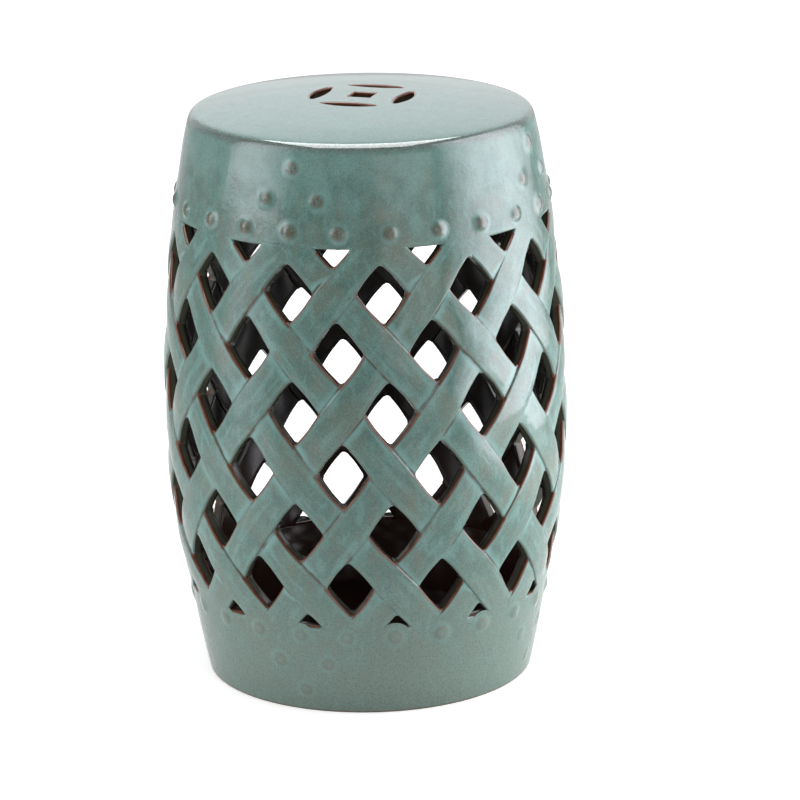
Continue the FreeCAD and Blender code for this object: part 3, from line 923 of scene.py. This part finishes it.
def pooled_bosses(r, colour, grain, fine):
    """Flooded nail head: a turquoise ring round a faint pinkish-brown one."""
    distance = r.plus(r.mark("boss"), r.swing(grain, 3.5))
    ring = r.times(r.ramp(distance, 4.8, 7.0), r.ramp(distance, 7.0, 11.0, 1.0, 0.0))
    colour = r.mix(r.times(ring, 0.20), colour, TURQUOISE)
    worn = r.times(r.ramp(distance, 1.5, 3.6), r.ramp(distance, 4.2, 6.2, 1.0, 0.0))
    return r.mix(r.times(worn, r.ramp(fine, 0.40, 0.60, 0.0, 0.45)), colour, FLOODED_RING)


def speckled_rim(r, colour, grain, fine):
    """Grey-brown speckled belt round the top of the barrel, just under the seat's edge."""
    height = r.plus(r.part(r.place, "Z"), r.swing(grain, 0.008))
    belt = r.times(r.ramp(height, 0.4390, 0.4462), r.ramp(height, 0.4470, 0.4480, 1.0, 0.0))
    return r.mix(r.times(belt, r.ramp(fine, 0.42, 0.58, 0.15, 1.0)), colour, RIM_BELT)


def bare_foot(r, colour, grain, fine):
    """Bare clay on the tread of the foot ring."""
    height = r.plus(r.part(r.place, "Z"), r.swing(grain, 0.003))
    return r.mix(r.ramp(height, 0.0008, 0.0022, 1.0, 0.0), colour, CLAY)


glaze = celadon("celadon_glaze")
boss_glaze = celadon("celadon_on_upper_bosses", worn_bosses)
flooded_glaze = celadon("celadon_on_lower_bosses", pooled_bosses)
rim_glaze = celadon("celadon_on_seat", speckled_rim, 0.00010, SEAT_CUT_RIM, 1.6)
foot_glaze = celadon("celadon_on_foot", bare_foot)


# Pieces

for hand in (1, -1):
    for number in range(STRIPS):
        strip_name, points, faces, marks = lattice_strip(hand, number)
        strip = mesh_piece("glazed_" + strip_name, points, faces, marks)
        finish_piece(strip, "lattice", glaze, strip_name)

band = turned("glazed_upper_band", *upper_band(), band_marks(0, LATTICE_TOP, 11.0))
finish_piece(band, "upper_band", glaze, "upper_band")

band = turned("glazed_lower_band", *lower_band(), band_marks(7, LATTICE_FOOT, 7.0))
finish_piece(band, "lower_band", foot_glaze, "lower_band")

finish_piece(seat_piece(), "seat", rim_glaze, "seat_plate")

floor_r = [VENT_RADIUS, VENT_RADIUS + 1, 70.0, FLOOR_RADIUS]
floor_z = [FLOOR_TOP - 0.8] + [FLOOR_TOP] * 3 + [FLOOR_UNDER] * 3 + [FLOOR_UNDER + 0.8]
# The floor counts as an inner face, so it takes the painted shade of the inside
floor_marks = {**FLAT_MARKS, "edge": constant(INNER), "cut": constant(1)}
inner_floor = turned("glazed_floor", floor_r + floor_r[::-1], floor_z, floor_marks)
finish_piece(inner_floor, "floor", glaze, "floor_plate")

# The three bosses of the front cluster on the upper band are worn down
ring_turns = BOSS_TURN + 360 / BOSSES_PER_RING * np.arange(BOSSES_PER_RING)
upper_ring = (ring_turns, np.full(BOSSES_PER_RING, UPPER_RING))
lower_ring = (ring_turns, np.full(BOSSES_PER_RING, LOWER_RING))
soft_front = np.tile([0.62] + [1.0] * (CLUSTERS - 1), 3)
for name, places, seed, rise, material in (
    ("upper_ring_bosses", upper_ring, 1.0, 1.0, boss_glaze),
    ("lower_ring_bosses", lower_ring, 2.0, 0.55, flooded_glaze),
    ("upper_cluster_bosses", boss_cluster(UPPER_RING, 1), 3.0, soft_front, boss_glaze),
    ("lower_cluster_bosses", boss_cluster(LOWER_RING, -1), 4.0, 0.30, flooded_glaze),
):
    bosses = boss_group("glazed_" + name, *places, seed, rise)
    finish_piece(bosses, "bosses", material, name)


# Stage, lights and camera

def pale_floor():
    """Plain pale floor, large enough to fill the view from any side. It glows to white away from
    the stool where the camera sees it, and faintly in reflections, more so behind the stool."""
    mesh = bpy.data.meshes.new("studio_floor")
    reach = 30.0
    mesh.from_pydata(
        [(-reach, -reach, 0), (reach, -reach, 0), (reach, reach, 0), (-reach, reach, 0)],
        [], [(0, 1, 2, 3)],
    )
    floor = bpy.data.objects.new("studio_floor", mesh)
    bpy.context.scene.collection.objects.link(floor)
    material = bpy.data.materials.new("studio_floor")
    material.use_nodes = True
    r = Recipe(material.node_tree)
    r.tree.nodes.remove(r.shader)
    diffuse = r.node("ShaderNodeBsdfDiffuse")
    diffuse.inputs["Color"].default_value = (0.80, 0.80, 0.80, 1)
    path = r.node("ShaderNodeLightPath").outputs
    away = r.vector("LENGTH", r.place)["Value"]
    behind = r.vector("DOT_PRODUCT", r.vector("NORMALIZE", r.place)["Vector"], (0, 1, 0))["Value"]
    mirrored = r.math(
        "MAXIMUM", r.ramp(away, 0.35, 0.9, 0.20, 0.25, "LINEAR"),
        r.ramp(behind, 0.80, 0.82, 0.25, 0.38, "LINEAR"),
    )
    seen = r.times(path["Is Camera Ray"], r.ramp(away, 0.25, 1.2, 0.55, 1.0, "LINEAR"))
    glow = r.node("ShaderNodeEmission")
    r.feed(glow.inputs["Strength"], r.plus(seen, r.times(path["Is Glossy Ray"], mirrored)))
    both = r.node("ShaderNodeAddShader")
    r.feed(both.inputs[0], diffuse.outputs[0])
    r.feed(both.inputs[1], glow.outputs[0])
    r.feed(r.tree.nodes["Material Output"].inputs["Surface"], both.outputs[0])
    mesh.materials.append(material)


def white_world(ambient, front, back):
    """World that is pure white where the camera sees it and ambient as a light. Reflections see
    it as front or back, on either side of a line that leans over the stool."""
    world = bpy.data.worlds.new("studio")
    bpy.context.scene.world = world
    world.use_nodes = True
    r = Recipe(world.node_tree, "Generated")
    path = r.node("ShaderNodeLightPath").outputs
    lean = r.vector("DOT_PRODUCT", r.place, (0, 1, 0.5))["Value"]
    mirrored = r.ramp(lean, 0.80, 0.82, front, back, "LINEAR")
    strength = r.between(path["Is Glossy Ray"], ambient, mirrored)
    clear = r.math("MAXIMUM", path["Is Camera Ray"], path["Is Transmission Ray"])
    sky = r.tree.nodes["Background"]
    sky.inputs["Color"].default_value = (1, 1, 1, 1)
    r.feed(sky.inputs["Strength"], r.between(clear, strength, 1.0))


def soft_box(name, place, target, width, height, brightness, colour=(1, 1, 1)):
    """Soft box at a place, facing the target. Its power is pi times its area times how bright
    it looks beside a white of 1."""
    light = bpy.data.lights.new(name, "AREA")
    light.shape = "RECTANGLE"
    light.size = width
    light.size_y = height
    light.energy = math.pi * width * height * brightness
    light.color = colour
    away = (Vector(place) - Vector(target)).normalized()
    facing = away.to_track_quat("Z", "Y").to_matrix().to_4x4()
    holder = bpy.data.objects.new(name, light)
    holder.matrix_world = Matrix.Translation(place) @ facing
    holder.visible_camera = False
    bpy.context.scene.collection.objects.link(holder)
    return holder


def soft_card(name, outer, inner, brightness, steps=4, distance=0.85):
    """Card with soft edges that only shows in reflections: boxes one inside the other, each
    with its share of the brightness. outer and inner are the first and last turn in degrees
    and the lowest and highest level in metres, where it starts and where it is full. Their
    middle turns differ, so that no two boxes lie in one plane, where a ray would meet only one
    of them. More than 7 would use up the lights that a ray passes on its way to the sky."""
    for step in range(steps):
        share = (step + 0.5) / steps
        start, end, low, high = (a + (b - a) * share for a, b in zip(outer, inner))
        turn, level = math.radians((start + end) / 2), (low + high) / 2
        width = 2 * distance * math.tan(math.radians(end - start) / 2)
        place = (distance * math.sin(turn), -distance * math.cos(turn), level)
        holder = soft_box(
            "%s_%d" % (name, step + 1), place, (0, 0, level), width, high - low,
            brightness / steps, (0.98, 0.98, 1.06),
        )
        holder.visible_diffuse = False


pale_floor()
white_world(0.32, 0.45, 0.90)

# Boxes that light the glaze without being mirrored in it, and cards that are only mirrored
for name, place, target, width, height, brightness in (
    ("left_soft_box", (-0.75, -0.338, 0.30), (0, 0, 0.30), 0.53, 0.56, 4.2),
    ("right_soft_box", (0.80, -0.106, 0.20), (0, -0.106, 0.20), 0.766, 0.40, 7.8),
    ("back_soft_box", (0, 2.0, 1.15), (0, 0, 0.45), 1.9, 1.0, 0.6),
    ("top_soft_box", (0, -0.10, 1.60), (0, 0, 0.45), 0.95, 0.50, 8.6),
):
    soft_box(name, place, target, width, height, brightness).visible_glossy = False
soft_card("left_card", (-90, -41, 0.38, 1.30), (-78, -63, 0.47, 0.90), 3.9)
soft_card("left_low_card", (-90, -45, -0.10, 0.50), (-75, -66, 0.10, 0.42), 1.7, 3)
soft_card("right_card", (46.6, 129, -0.35, 1.45), (70, 95, -0.02, 1.15), 6.8)
soft_box("top_card", (0, 0, 1.60), (0, 0, 0.45), 1.15, 1.44, 12.0).visible_diffuse = False
soft_card("back_card", (142, 210, 0.30, 3.60), (152, 196, 1.35, 2.70), 0.72, 6, 2.0)
soft_box("front_soft_box", (0.70, -1.44, 0.40), (0, 0, 0.3), 1.0, 1.1, 1.1)

# Camera worked out from the photo: its place in metres and its angles in radians
view = bpy.data.cameras.new("camera")
view.sensor_width = 36.0
view.lens = 190.87
camera = bpy.data.objects.new("camera", view)
camera_place = (0, -3.19116, 1.14273)
yaw, pitch, roll = 0.00834451, 0.283447, -0.0158962
forward = Vector((
    math.sin(yaw) * math.cos(pitch), math.cos(yaw) * math.cos(pitch), -math.sin(pitch),
))
right = Vector((math.cos(yaw), -math.sin(yaw), 0))
upward = right.cross(forward)
rolled_right = right * math.cos(roll) + upward * math.sin(roll)
rolled_up = upward * math.cos(roll) - right * math.sin(roll)
turned_to = Matrix((rolled_right, rolled_up, -forward)).transposed().to_4x4()
camera.matrix_world = Matrix.Translation(camera_place) @ turned_to
bpy.context.scene.collection.objects.link(camera)
bpy.context.scene.camera = camera
bpy.context.scene.view_settings.view_transform = "Standard"
